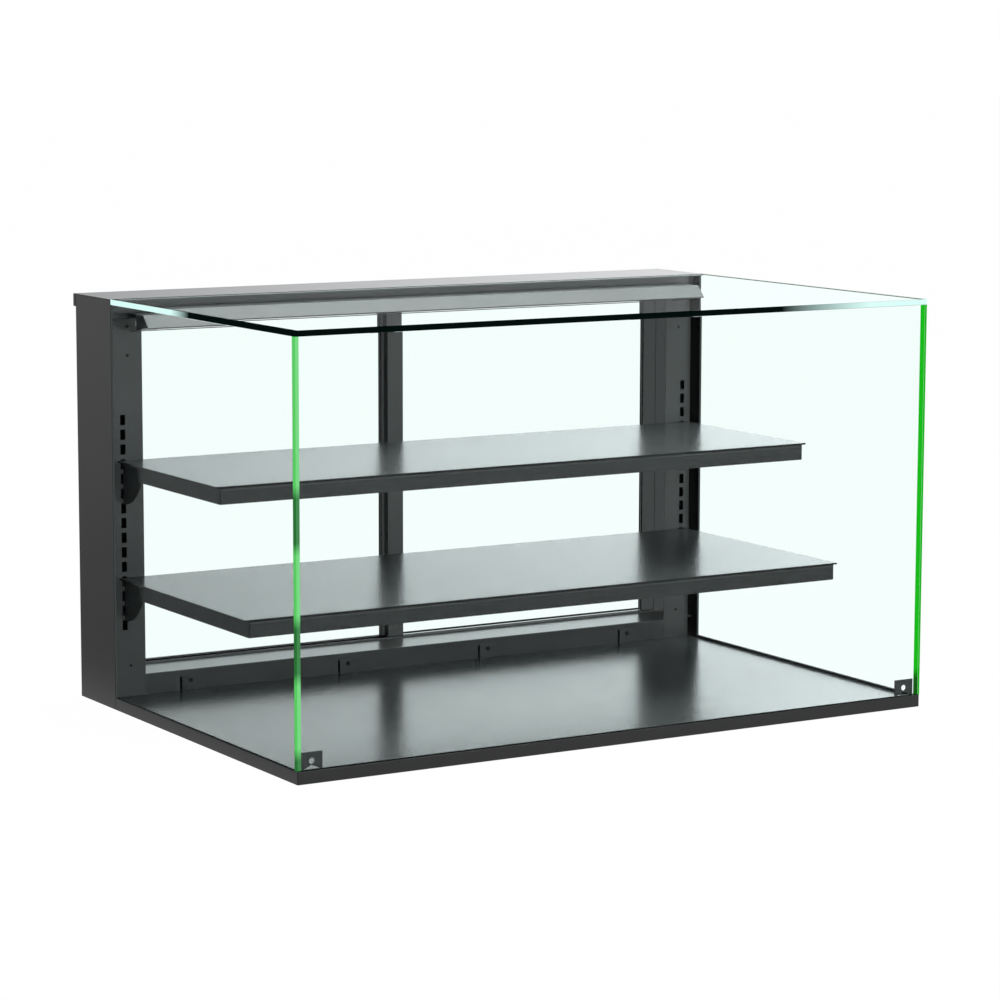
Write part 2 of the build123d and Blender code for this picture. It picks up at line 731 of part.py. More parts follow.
def door_jamb():
    """Upright channel at one side of the rear opening, which the door edges close into."""
    z_span = (SILL_TOP, HEADER_BOTTOM - HAIRLINE)
    face_x = (left_x(JAMB_OUTER_INSET), left_x(JAMB_INSET + JAMB_LIP))
    web_x = (left_x(JAMB_INSET - SHEET), left_x(JAMB_INSET))
    front = block(face_x, (TRACK_FRONT, TRACK_FRONT + SHEET), z_span)
    rear = block(face_x, (TRACK_REAR - SHEET, TRACK_REAR), z_span)
    return front + rear + block(web_x, (TRACK_FRONT, TRACK_REAR), z_span)


def channel_middle(outer):
    """Depth of the middle of one running channel."""
    fins = track_fins()
    return (fins[1 + outer][0] + fins[outer][1]) / 2


def door_bumpers():
    """Soft stops on the jambs, one pair for each door at each end of its travel."""
    start = left_x(JAMB_INSET)
    bumpers = []
    for outer in (0, 1):
        for z in BUMPER_HEIGHTS:
            stop = disc_along_x(BUMPER_DIAMETER / 2, channel_middle(outer), z, start, start + BUMPER_THICK)
            bumpers += [stop, mirrored(stop)]
    return bumpers


def stile(outer_edge, inward, outer):
    """Upright door edge with a glass groove inside and a finger groove on the rear face."""
    middle = channel_middle(outer)
    depth_span = (middle - STILE_DEPTH / 2, middle + STILE_DEPTH / 2)
    z_span = (DOOR_BOTTOM, DOOR_TOP)
    x_span = sorted((outer_edge, outer_edge + inward * STILE_WIDTH))
    body = block(x_span, depth_span, z_span)
    body = fillet(body.edges().filter_by(Axis.Z), STILE_EDGE)
    inner_edge = outer_edge + inward * STILE_WIDTH
    groove_x = sorted((inner_edge, inner_edge - inward * GLASS_GROOVE_DEEP))
    groove_depth = (middle - GLASS_GROOVE / 2, middle + GLASS_GROOVE / 2)
    finger_start = outer_edge + inward * FINGER_GROOVE_START
    finger_x = sorted((finger_start, finger_start + inward * FINGER_GROOVE_WIDTH))
    finger_depth = (depth_span[1] - FINGER_GROOVE_DEEP, depth_span[1] + 1)
    return body - block(groove_x, groove_depth, z_span) - block(finger_x, finger_depth, z_span)


def door_pane(x_span, outer):
    """Door glass, held between its two stiles."""
    middle = channel_middle(outer)
    hidden = STILE_WIDTH - GLASS_ENGAGED
    pane_x = (x_span[0] + hidden, x_span[1] - hidden)
    depth_span = (middle - DOOR_GLASS / 2, middle + DOOR_GLASS / 2)
    plate = block(pane_x, depth_span, (DOOR_BOTTOM, DOOR_TOP))
    return chamfer(plate.edges(), GLASS_ARRIS)


def door_glides(x_span, outer):
    """Low-friction shoes under the two stiles."""
    middle = channel_middle(outer)
    depth_span = (middle - GLIDE_WIDTH / 2, middle + GLIDE_WIDTH / 2)
    z_span = (SILL_TOP + SHEET + GAP, DOOR_BOTTOM)
    low = x_span[0] + STILE_WIDTH
    high = x_span[1] - STILE_WIDTH
    shoes = [
        block((low - GLIDE_LENGTH, low), depth_span, z_span),
        block((high, high + GLIDE_LENGTH), depth_span, z_span),
    ]
    return [fillet(shoe.edges().filter_by(Axis.Z), 2.0) for shoe in shoes]


def write_door(name, x_span, outer):
    save(door_pane(x_span, outer), f"{name}_door_glass")
    save(stile(x_span[0], 1, outer), f"{name}_door_stile_left")
    save(stile(x_span[1], -1, outer), f"{name}_door_stile_right")
    save_group(door_glides(x_span, outer), f"{name}_door_glides")


# ---- Shelves ----------------------------------------------------------------------------------------------------------
def slot_z(index):
    """Height of a slot's centre, counted down from the top slot."""
    return TOP_SLOT_Z - SLOT_PITCH * index


def shelf_sheet(front, top):
    """Top sheet with a hemmed lip on its front and sides."""
    half = HALF_WIDTH - SHELF_INSET
    depth_span = (front, SHELF_REAR)
    sheet = block((-half, half), depth_span, (top - SHELF_LIP, top))
    inner_half = half - SHELF_LIP_WIDTH
    hollow_z = (top - SHELF_LIP, top - THIN_SHEET)
    sheet -= block((-inner_half, inner_half), (front + SHELF_LIP_WIDTH, SHELF_REAR), hollow_z)
    rims = sheet.edges().filter_by(Axis.Z).group_by(Axis.Y)[0]
    return fillet(rims, 1.5)


def side_skirt(front, top):
    """Side flange of a shelf, arched at the rear to show the bracket's gusset."""
    bottom = top - SHELF_DROP
    body = outline(depth_points([
        (front + FRONT_SKIRT_SETBACK, bottom),
        (ARCH_DEPTH, bottom),
        (ARCH_DEPTH, top - ARCH_TOP_DROP),
        (SHELF_REAR, top - ARCH_TOP_DROP),
        (SHELF_REAR, top - THIN_SHEET),
        (front + FRONT_SKIRT_SETBACK, top - THIN_SHEET),
    ]))
    arch_corner = body.vertices().sort_by_distance((y_at(ARCH_DEPTH), top - ARCH_TOP_DROP, 0))[0]
    body = fillet(arch_corner, ARCH_RADIUS)
    return along_x(body, left_x(SKIRT_INSET), left_x(SKIRT_INSET + SIDE_SKIRT))


def front_skirt(front, top):
    """Front flange of a shelf with a stiffening return along its foot."""
    bottom = top - SHELF_DROP
    face_depth = front + FRONT_SKIRT_SETBACK
    half = HALF_WIDTH - SKIRT_INSET
    inner = half - SIDE_SKIRT
    skirt = block((-half, half), (face_depth, face_depth + THIN_SHEET), (bottom, top - THIN_SHEET))
    foot = block((-inner, inner), (face_depth, face_depth + SKIRT_RETURN), (bottom, bottom + THIN_SHEET))
    return skirt + foot


def shelf_panel(front, index):
    """One shelf: hemmed top sheet, side skirts, front skirt and rear flange."""
    top = slot_z(index) + SHELF_ABOVE_SLOT
    skirt = side_skirt(front, top)
    rear_half = HALF_WIDTH - REAR_SKIRT_INSET
    rear_depth = (SHELF_REAR - THIN_SHEET, SHELF_REAR)
    rear = block((-rear_half, rear_half), rear_depth, (top - REAR_SKIRT_DROP, top - THIN_SHEET))
    frame = skirt + mirrored(skirt) + front_skirt(front, top)
    corners = frame.edges().filter_by(Axis.Z).group_by(Axis.Y)[0]
    return fillet(corners, min(SKIRT_CORNER, SIDE_SKIRT * 0.9)) + rear + shelf_sheet(front, top)


def bracket_plate(front, top):
    """Side view of a bracket: long arm, rounded gusset and the fillet between them."""
    arm_top = top - THIN_SHEET - HAIRLINE
    arm_bottom = top - SHELF_DROP
    start = front + BRACKET_SETBACK
    arm = outline(depth_points([
        (SHELF_REAR, arm_bottom),
        (SHELF_REAR, arm_top),
        (start, arm_top),
        (start, arm_top - BRACKET_NOSE_RISE),
        (start + BRACKET_SETBACK, arm_bottom),
    ]))
    quarter = Pos(y_at(SHELF_REAR), arm_top) * Circle(GUSSET_RADIUS)
    window = outline(depth_points([
        (SHELF_REAR - GUSSET_RADIUS, arm_top - GUSSET_RADIUS),
        (SHELF_REAR, arm_top - GUSSET_RADIUS),
        (SHELF_REAR, arm_top),
        (SHELF_REAR - GUSSET_RADIUS, arm_top),
    ]))
    plate = arm + (quarter & window)
    drop = arm_top - arm_bottom
    meet = (y_at(SHELF_REAR - math.sqrt(GUSSET_RADIUS**2 - drop**2)), arm_bottom, 0)
    inner_corner = plate.vertices().sort_by_distance(meet)[0]
    return fillet(inner_corner, GUSSET_FILLET)


def gusset_pocket(top):
    """Outline of the shallow pressed panel in the gusset."""
    arm_top = top - THIN_SHEET - HAIRLINE
    radius = GUSSET_RADIUS - POCKET_RIM
    pocket_top = top - ARCH_TOP_DROP - POCKET_TOP_DROP + SHELF_LIP
    circle = Pos(y_at(SHELF_REAR), arm_top) * Circle(radius)
    window = outline(depth_points([
        (SHELF_REAR - radius - 1, arm_top - radius - 1),
        (SHELF_REAR - POCKET_RIM, arm_top - radius - 1),
        (SHELF_REAR - POCKET_RIM, pocket_top),
        (SHELF_REAR - radius - 1, pocket_top),
    ]))
    pocket = circle & window
    front_corner = pocket.vertices().sort_by_distance((y_at(SHELF_REAR - radius), pocket_top, 0))[0]
    return fillet(front_corner, POCKET_CORNER)


def bracket_hook(centre_z):
    """Hook that passes through one slot and drops behind the standard."""
    slot_bottom = centre_z - SLOT_HEIGHT / 2
    top = centre_z + HOOK_TOP
    back = STANDARD_DEPTH + SHEET + GAP
    return outline(depth_points([
        (SHELF_REAR - 1, slot_bottom + GAP),
        (back, slot_bottom + GAP),
        (back, centre_z - HOOK_DROP),
        (back + HOOK_TAB, centre_z - HOOK_DROP + 1),
        (back + HOOK_TAB, top - 1),
        (back + HOOK_TAB - 1, top),
        (SHELF_REAR - 1, top),
    ]))


def shelf_bracket(front, index):
    """Left shelf bracket, hooked into three slots."""
    top = slot_z(index) + SHELF_ABOVE_SLOT
    plate = bracket_plate(front, top)
    for step in range(HOOK_COUNT):
        plate += bracket_hook(slot_z(index + step))
    outer_x = left_x(BRACKET_INSET)
    bracket = along_x(plate, outer_x, outer_x + BRACKET_THICK)
    return bracket - along_x(gusset_pocket(top), outer_x - 1, outer_x + POCKET_DEEP)


def write_shelf(name, front, index):
    save(shelf_panel(front, index), f"{name}_shelf_panel")
    save_pair(shelf_bracket(front, index), f"{name}_bracket")


# ---- Electrical pieces ------------------------------------------------------------------------------------------------
def led_driver():
    """Potted LED driver with a screw ear at each end."""
    length, width, height = DRIVER_SIZE
    x, depth = DRIVER_CENTRE
    depth_span = (depth - width / 2, depth + width / 2)
    body = block((x - length / 2, x + length / 2), depth_span, (DECK_TOP, DECK_TOP + height))
    body = fillet(body.edges().filter_by(Axis.Z), DRIVER_CORNER)
    ear_x = (x - length / 2 - DRIVER_EAR, x + length / 2 + DRIVER_EAR)
    ear_depth = (depth - DRIVER_EAR, depth + DRIVER_EAR)
    body += block(ear_x, ear_depth, (DECK_TOP, DECK_TOP + DRIVER_EAR_THICK))
    for side in (-1, 1):
        hole_x = x + side * (length + DRIVER_EAR) / 2
        hole = Pos(hole_x, y_at(depth)) * Circle(DRIVER_EAR_HOLE / 2)
        body -= along_z(hole, DECK_TOP - 1, DECK_TOP + DRIVER_EAR_THICK + 1)
    return body


def service_box(x, size, depth_start, depth_end):
    """Block centred on a rear service position."""
    half_w, half_h = size[0] / 2, size[1] / 2
    z_span = (SERVICE_Z - half_h, SERVICE_Z + half_h)
    return block((x - half_w, x + half_w), (depth_start, depth_end), z_span)


def power_inlet():
    """Snap-in appliance inlet, with its mouth facing the rear."""
    mouth = BODY_DEPTH + INLET_FLANGE[2]
    flange = service_box(INLET_X, INLET_FLANGE, BODY_DEPTH, mouth)
    flange = fillet(flange.edges().filter_by(Axis.Y), INLET_CORNER)
    body = service_box(INLET_X, INLET_BODY, BODY_DEPTH - INLET_BODY[2], BODY_DEPTH)
    cavity = service_box(INLET_X, INLET_CAVITY, mouth - INLET_CAVITY[2], mouth)
    return flange + body - cavity


def inlet_pins():
    """Three flat contacts that stand in the inlet's cavity."""
    width, height, length = INLET_PIN
    start = BODY_DEPTH + INLET_FLANGE[2] - INLET_CAVITY[2]
    places = [
        (-INLET_PIN_SPAN, -INLET_PIN_DROP),
        (INLET_PIN_SPAN, -INLET_PIN_DROP),
        (0, INLET_EARTH_RISE),
    ]
    pins = []
    for dx, dz in places:
        x = INLET_X + dx
        z = SERVICE_Z + dz
        z_span = (z - height / 2, z + height / 2)
        pins.append(block((x - width / 2, x + width / 2), (start, start + length), z_span))
    return pins


def rocker_pivot_depth():
    return BODY_DEPTH - ROCKER_PIVOT_IN


def switch_body():
    """Light switch housing with an open pocket for the rocker."""
    face = BODY_DEPTH + SWITCH_FLANGE[2]
    flange = service_box(SWITCH_X, SWITCH_FLANGE, BODY_DEPTH, face)
    flange = fillet(flange.edges().filter_by(Axis.Y), INLET_CORNER)
    body = service_box(SWITCH_X, SWITCH_BODY, BODY_DEPTH - SWITCH_BODY[2], BODY_DEPTH)
    cavity = service_box(SWITCH_X, SWITCH_CAVITY, face - SWITCH_CAVITY[2], face)
    half = SWITCH_CAVITY[0] / 2 + ROCKER_PIN_LENGTH
    bore_radius = ROCKER_PIN_RADIUS + ROCKER_PIN_CLEARANCE
    bore = disc_along_x(bore_radius, rocker_pivot_depth(), SERVICE_Z, SWITCH_X - half, SWITCH_X + half)
    return flange + body - cavity - bore


def switch_rocker():
    """Rocker with a shallow V face, turning on two stub pins."""
    face = BODY_DEPTH + SWITCH_FLANGE[2]
    keel = rocker_pivot_depth() - ROCKER_KEEL
    side = outline(depth_points([
        (keel, SERVICE_Z),
        (BODY_DEPTH - ROCKER_WAIST, SERVICE_Z - ROCKER_HALF_LENGTH),
        (face + ROCKER_PROUD, SERVICE_Z - ROCKER_HALF_LENGTH),
        (face - ROCKER_WAIST, SERVICE_Z),
        (face + ROCKER_PROUD, SERVICE_Z + ROCKER_HALF_LENGTH),
        (BODY_DEPTH - ROCKER_WAIST, SERVICE_Z + ROCKER_HALF_LENGTH),
    ]))
    half = ROCKER_WIDTH / 2
    rocker = along_x(side, SWITCH_X - half, SWITCH_X + half)
    pin_half = SWITCH_CAVITY[0] / 2 + ROCKER_PIN_LENGTH - HAIRLINE
    depth = rocker_pivot_depth()
    rocker += disc_along_x(ROCKER_PIN_RADIUS, depth, SERVICE_Z, SWITCH_X - pin_half, SWITCH_X + pin_half)
    axis = Axis((SWITCH_X, y_at(depth), SERVICE_Z), (1, 0, 0))
    return rocker.rotate(axis, ROCKER_TILT)


# ---- Write every node ---------------------------------------------------------------------------------------------------
def write_base():
    save(front_rail(), "base_rail_front")
    save_pair(side_rail(), "base_rail")
    save(deck_panel(), "base_deck")
    save_group(rubber_feet(), "rubber_feet")
    save_group(glazing_gasket(), "glazing_gasket")
    save_pair(corner_clip(), "glass_clip")


def write_glass():
    save(front_glass(), "glass_front")
    save_pair(side_glass(), "glass")
    save(top_glass(), "glass_top")


def write_housing():
    save_pair(rear_post(), "rear_post")
    save_pair(slotted_standard(), "shelf_standard")
    save(rear_sill(), "rear_sill")
    save_group(deck_upstands(), "deck_upstands")
    save_group(sill_screws(), "sill_screws")
    save(rear_cover(), "rear_cover")
    save_group(cover_screws(), "cover_screws")
    save(top_cap(), "top_cap")
    save(header_channel(), "header_channel")
    save(glass_ledge(), "glass_ledge")


def write_light():
    save(light_hood(), "light_hood")
    save_pair(hood_end_cap(), "hood_end_cap")
    save(led_channel(), "led_channel")
    save(led_board(), "led_board")
    save(led_diffuser(), "led_diffuser")
    save_group(led_end_caps(), "led_end_caps")
    save_group(led_clips(), "led_clips")


def write_electrics():
    save(led_driver(), "led_driver")
    save(power_inlet(), "power_inlet")
    save_group(inlet_pins(), "inlet_pins")
    save(switch_body(), "switch_body")
    save(switch_rocker(), "switch_rocker")


def write_doors():
    save(lower_track(), "door_track_lower")
    save(upper_track(), "door_track_upper")
    save_pair(door_jamb(), "door_jamb")
    save_group(door_bumpers(), "door_bumpers")
    closed_edge = HALF_WIDTH - DOOR_INSET
    write_door("inner", (-DOOR_OVERLAP / 2, closed_edge), 0)
    write_door("outer", (-closed_edge, DOOR_OVERLAP / 2), 1)


def write_shelves():
    write_shelf("upper", UPPER_SHELF_FRONT, UPPER_HOOK_SLOT)
    write_shelf("lower", LOWER_SHELF_FRONT, LOWER_HOOK_SLOT)


os.makedirs("parts", exist_ok=True)
write_base()
write_glass()
write_housing()
write_light()
write_electrics()
write_doors()
write_shelves()
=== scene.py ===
import json
import math

import bmesh
import bpy
from mathutils import Matrix, Vector


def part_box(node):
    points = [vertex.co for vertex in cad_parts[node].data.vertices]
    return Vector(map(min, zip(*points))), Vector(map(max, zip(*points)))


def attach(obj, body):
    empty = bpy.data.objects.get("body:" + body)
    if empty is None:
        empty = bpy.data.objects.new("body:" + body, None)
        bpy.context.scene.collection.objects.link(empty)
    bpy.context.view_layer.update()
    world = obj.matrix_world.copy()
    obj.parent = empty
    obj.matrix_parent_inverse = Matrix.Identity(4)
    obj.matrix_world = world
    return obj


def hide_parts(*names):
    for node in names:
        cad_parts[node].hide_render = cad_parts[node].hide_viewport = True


# A countertop bakery display case. Metres, +Z up, the front glass faces -Y.

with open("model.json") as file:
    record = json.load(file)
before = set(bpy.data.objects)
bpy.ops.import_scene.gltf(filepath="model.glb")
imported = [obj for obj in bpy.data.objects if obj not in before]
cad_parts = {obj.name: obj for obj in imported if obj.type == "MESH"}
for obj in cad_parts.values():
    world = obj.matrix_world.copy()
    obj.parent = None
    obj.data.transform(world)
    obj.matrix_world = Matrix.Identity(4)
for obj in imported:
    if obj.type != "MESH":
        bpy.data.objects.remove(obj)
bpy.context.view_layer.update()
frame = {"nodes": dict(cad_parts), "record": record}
NODES = frame["nodes"]
BODY_OF = {node: body for body, nodes in frame["record"]["behaviour"]["bodies"].items() for node in nodes}

MM = 0.001

# ---- Studio settings ----------------------------------------------------------------------------
CAMERA_PLACE = Vector((-2.965, -4.946, 1.169))
CAMERA_YAW = 31.0
CAMERA_PITCH = -8.04
CAMERA_ROLL = 0.134
CAMERA_LENS = 121.1
SENSOR = 36.0
FLOOR_SIZE = 80.0
BACKDROP = (1.0, 1.0, 1.0, 1.0)
FLOOR_GLOW = 0.99
FLOOR_ALBEDO = 0.004
# Brightness that polished parts see: low walls of light, dimmer on the left.
SKY_TINT = (0.985, 1.0, 1.02, 1.0)
SKY_LEFT = 0.70
SKY_RIGHT = 3.7
SKY_LEFT_HEADING = 0.34
SKY_RIGHT_HEADING = 0.78
SKY_FRONT = 1.7
SKY_TURN = (-0.2, 0.3)
# Painted shade in the floor's reflections: its glow for reflected rays, dimmer near the case and on the
# left.
MIRRORED_FLOOR_FRONT_NEAR = 0.84
MIRRORED_FLOOR_FRONT_FAR = 1.35
MIRRORED_FLOOR_LEFT_NEAR = 0.32
MIRRORED_FLOOR_LEFT_FAR = 0.66
MIRRORED_FLOOR_FRONT_SPAN = (-1.5, -0.6)
MIRRORED_FLOOR_LEFT_SPAN = (-3.2, -0.9)
MIRRORED_FLOOR_SIDE_SPAN = (-0.75, -0.55)
SOFTBOX_PLACE = Vector((0.9, -0.1, 2.6))
SOFTBOX_AIM = Vector((0.1, 0.2, 0.5))
SOFTBOX_SIZE = (2.6, 1.8)
SOFTBOX_POWER = 370.0

# Painted front light: an emission on the deep upright parts, which the shelves and posts would otherwise
# shade.
PAINTED_FRONT_LIGHT = (0.95, 1.0, 1.0, 1.0)
STILE_PAINTED_LIGHT = 0.036
JAMB_PAINTED_LIGHT = 0.055
STANDARD_PAINTED_LIGHT = 0.024
RIB_PAINTED_LIGHT = 0.05
# Painted shade: near-black colour and lowered gloss on faces left out of the light.
PAINTED_SHADE = (0.0004, 0.0006, 0.0006, 1.0)
PAINTED_SHADE_SHINE = 0.15
# Hem along the front of each shelf: the painted shade on its bend and the painted highlight line under
# it, with their heights measured down from the shelf's top.
HEM_PAINTED_SHADE = (0.0030, 0.0035, 0.0035, 1.0)
HEM_PAINTED_SHADE_SHINE = 0.5
HEM_PAINTED_HIGHLIGHT = (0.014, 0.016, 0.016)
HEM_BEND_END = 4.0 * MM
HEM_BEND_FULL = 3.2 * MM
HEM_LINE_SPAN = (7.8 * MM, 4.2 * MM)
HEM_LINE_FULL = (6.4 * MM, 5.0 * MM)

# ---- Glass --------------------------------------------------------------------------------------
PANE_GAP = 0.15 * MM
ARRIS = 0.4 * MM
GLASS_IOR = 1.52
GLASS_GLARE = 0.0013
TOP_GLARE = 0.013
EDGE_GRIND = 0.94
# Painted light on the front upright edges: a green glow for the light they gather, with painted shade
# level with each black panel.
EDGE_PAINTED_LIGHT = (0.10, 0.60, 0.12)
EDGE_PAINTED_SHADE = (0.02, 0.16, 0.03)
BUTT_PAINTED_LIGHT = (0.20, 0.70, 0.23)
BUTT_PAINTED_SHADE = (0.06, 0.24, 0.08)
BLACK_LEVELS = ("base_deck", "lower_shelf_panel", "upper_shelf_panel")
PAINTED_SHADE_REACH = 20 * MM
PAINTED_SHADE_FADE = 20 * MM


def material(name):
    """New node material and its links, nodes and output."""
    mat = bpy.data.materials.new(name)
    mat.use_nodes = True
    nodes = mat.node_tree.nodes
    nodes.clear()
    output = nodes.new("ShaderNodeOutputMaterial")
    return mat, nodes, mat.node_tree.links, output


def principled(nodes, links, output, **sockets):
    """Principled shader on the output, with plain values set on its own sockets."""
    shader = nodes.new("ShaderNodeBsdfPrincipled")
    for socket, value in sockets.items():
        shader.inputs[socket.replace("_", " ")].default_value = value
    links.new(shader.outputs["BSDF"], output.inputs["Surface"])
    return shader


def noise(nodes, links, scale, detail=4.0, roughness=0.5, stretch=(1, 1, 1), distortion=0.0):
    """Noise texture in object coordinates, with its own stretch along the axes."""
    place = nodes.new("ShaderNodeTexCoord")
    mapping = nodes.new("ShaderNodeMapping")
    mapping.inputs["Scale"].default_value = stretch
    texture = nodes.new("ShaderNodeTexNoise")
    texture.inputs["Scale"].default_value = scale
    texture.inputs["Detail"].default_value = detail
    texture.inputs["Roughness"].default_value = roughness
    texture.inputs["Distortion"].default_value = distortion
    links.new(place.outputs["Object"], mapping.inputs["Vector"])
    links.new(mapping.outputs["Vector"], texture.inputs["Vector"])
    return texture


def spread(nodes, links, source, low, high, start=0.3, end=0.7):
    """Map a 0-1 value to a range."""
    ramp = nodes.new("ShaderNodeMapRange")
    ramp.inputs["From Min"].default_value = start
    ramp.inputs["From Max"].default_value = end
    ramp.inputs["To Min"].default_value = low
    ramp.inputs["To Max"].default_value = high
    links.new(source, ramp.inputs["Value"])
    return ramp.outputs["Result"]


def tones(nodes, links, source, dark, light):
    """Blend between two colours by a 0-1 value."""
    ramp = nodes.new("ShaderNodeValToRGB")
    ramp.color_ramp.elements[0].position = 0.3
    ramp.color_ramp.elements[0].color = (*dark, 1)
    ramp.color_ramp.elements[1].position = 0.7
    ramp.color_ramp.elements[1].color = (*light, 1)
    links.new(source, ramp.inputs["Fac"])
    return ramp.outputs["Color"]


def relief(nodes, links, height, shader, strength, distance):
    """Bump a shader's surface by a height."""
    bump = nodes.new("ShaderNodeBump")
    bump.inputs["Strength"].default_value = strength
    bump.inputs["Distance"].default_value = distance
    links.new(height, bump.inputs["Height"])
    links.new(bump.outputs["Normal"], shader.inputs["Normal"])


def powder_coat(name, dark, light, rough, level, peel=0.04):
    """Satin powder coat: fine orange peel, slight cloudiness in colour and gloss."""
    mat, nodes, links, output = material(name)
    shader = principled(nodes, links, output, Specular_IOR_Level=level, IOR=1.5)
    cloud = noise(nodes, links, 14.0, 5.0, 0.6)
    fine = noise(nodes, links, 900.0, 2.0)
    links.new(tones(nodes, links, cloud.outputs["Fac"], dark, light), shader.inputs["Base Color"])
    gloss = spread(nodes, links, cloud.outputs["Fac"], rough - 0.008, rough + 0.008)
    links.new(gloss, shader.inputs["Roughness"])
    relief(nodes, links, fine.outputs["Fac"], shader, peel, 0.1 * MM)
    return mat


def brushed_metal(name, dark, light, rough, metallic, stretch, level=0.5):
    """Metal drawn or brushed along one axis."""
    mat, nodes, links, output = material(name)
    shader = principled(nodes, links, output, Metallic=metallic, Specular_IOR_Level=level)
    streak = noise(nodes, links, 60.0, 6.0, 0.65, stretch)
    links.new(tones(nodes, links, streak.outputs["Fac"], dark, light), shader.inputs["Base Color"])
    gloss = spread(nodes, links, streak.outputs["Fac"], rough - 0.05, rough + 0.07)
    links.new(gloss, shader.inputs["Roughness"])
    relief(nodes, links, streak.outputs["Fac"], shader, 0.08, 0.05 * MM)
    return mat


def product(nodes, links, first, second):
    """Multiply two number sockets."""
    times = nodes.new("ShaderNodeMath")
    times.operation = "MULTIPLY"
    links.new(first, times.inputs[0])
    links.new(second, times.inputs[1])
    return times.outputs["Value"]


def plain_colour(nodes, colour):
    """Colour socket with one constant colour."""
    source = nodes.new("ShaderNodeRGB")
    source.outputs["Color"].default_value = colour
    return source.outputs["Color"]


def shader_of(mat):
    """Principled shader of a finished coat."""
    return next(node for node in mat.node_tree.nodes if node.type == "BSDF_PRINCIPLED")


def paint_light_and_shade(mat, share_of, strength):
    """Keep the coat where share_of(nodes, links) is 1 and paint the rest near-black, as painted shade.

    Faces in the lit share that look to the front also get strength of painted light, an emission
    standing in for a lamp before the case.
    """
    nodes = mat.node_tree.nodes
    links = mat.node_tree.links
    shader = shader_of(mat)
    share = share_of(nodes, links)
    colour = shader.inputs["Base Color"]
    coat = colour.links[0].from_socket
    links.new(blend_colours(nodes, links, share, plain_colour(nodes, PAINTED_SHADE), coat), colour)
    level = shader.inputs["Specular IOR Level"]
    full = level.default_value
    links.new(spread(nodes, links, share, full * PAINTED_SHADE_SHINE, full, 0, 1), level)
    facing = world_normal(nodes, links)["Y"]
    front = spread(nodes, links, facing, strength, 0, -0.95, -0.6)
    shader.inputs["Emission Color"].default_value = PAINTED_FRONT_LIGHT
    links.new(product(nodes, links, front, share), shader.inputs["Emission Strength"])
    return mat


def paint_hem_light_and_shade(mat, node):
    """Paint the hem at the front of a shelf: painted shade on its bend, with a thin painted highlight
    line under it.
    """
    nodes = mat.node_tree.nodes
    links = mat.node_tree.links
    shader = shader_of(mat)
    black = (0.0, 0.0, 0.0)
    white = (1.0, 1.0, 1.0)
    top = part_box(node)[1].z
    front = front_faces(nodes, links)
    bend = banded(nodes, links, [(top - HEM_BEND_END, black), (top - HEM_BEND_FULL, white)], "Z")
    shaded = product(nodes, links, front, bend)
    colour = shader.inputs["Base Color"]
    coat = colour.links[0].from_socket
    links.new(blend_colours(nodes, links, shaded, coat, plain_colour(nodes, HEM_PAINTED_SHADE)), colour)
    level = shader.inputs["Specular IOR Level"]
    full = level.default_value
    links.new(spread(nodes, links, shaded, full, full * HEM_PAINTED_SHADE_SHINE, 0, 1), level)
    line = banded(nodes, links, [
        (top - HEM_LINE_SPAN[0], black), (top - HEM_LINE_FULL[0], HEM_PAINTED_HIGHLIGHT),
        (top - HEM_LINE_FULL[1], HEM_PAINTED_HIGHLIGHT), (top - HEM_LINE_SPAN[1], black),
    ], "Z")
    links.new(line, shader.inputs["Emission Color"])
    links.new(front, shader.inputs["Emission Strength"])
    return mat


def surface_part(nodes, links, quantity):
    """X, Y and Z sockets of a world-space surface quantity, Position or Normal."""
    surface = nodes.new("ShaderNodeNewGeometry")
    split = nodes.new("ShaderNodeSeparateXYZ")
    links.new(surface.outputs[quantity], split.inputs["Vector"])
    return split.outputs


def world_place(nodes, links):
    return surface_part(nodes, links, "Position")


def world_normal(nodes, links):
    return surface_part(nodes, links, "Normal")


def front_faces(nodes, links):
    """1 on faces that look to the front, 0 on the sides and rear."""
    return spread(nodes, links, world_normal(nodes, links)["Y"], 1, 0, -0.9, -0.5)


def before_standard_web(nodes, links):
    """1 on the slotted face of a standard, 0 on what is seen deeper through its slots."""
    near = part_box("shelf_standard_left")[0].y
    return spread(nodes, links, world_place(nodes, links)["Y"], 1, 0, near + 1 * MM, near + 5 * MM)


def first_rib(nodes, links):
    """1 on the front rib of the door tracks, 0 in the shaded channels behind it."""
    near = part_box("door_track_lower")[0].y
    place = world_place(nodes, links)["Y"]
    return spread(nodes, links, place, 1, 0, near + 1.4 * MM, near + 1.7 * MM)


def outward_faces(nodes, links):
    """0 on post faces that look into the case, 1 elsewhere."""
    side = spread(nodes, links, world_place(nodes, links)["X"], -1, 1, -0.01, 0.01)
    turned = product(nodes, links, world_normal(nodes, links)["X"], side)
    return spread(nodes, links, turned, 0, 1, -0.8, -0.3)


def moulded(name, dark, light, rough, scale=500.0, strength=0.15, level=0.5):
    """Moulded plastic or rubber with a fine grain."""
    mat, nodes, links, output = material(name)
    shader = principled(nodes, links, output, Specular_IOR_Level=level)
    grain = noise(nodes, links, scale, 3.0, 0.6)
    cloud = noise(nodes, links, 25.0, 3.0)
    links.new(tones(nodes, links, cloud.outputs["Fac"], dark, light), shader.inputs["Base Color"])
    gloss = spread(nodes, links, grain.outputs["Fac"], rough - 0.06, rough + 0.06)
    links.new(gloss, shader.inputs["Roughness"])
    relief(nodes, links, grain.outputs["Fac"], shader, strength, 0.15 * MM)
    return mat


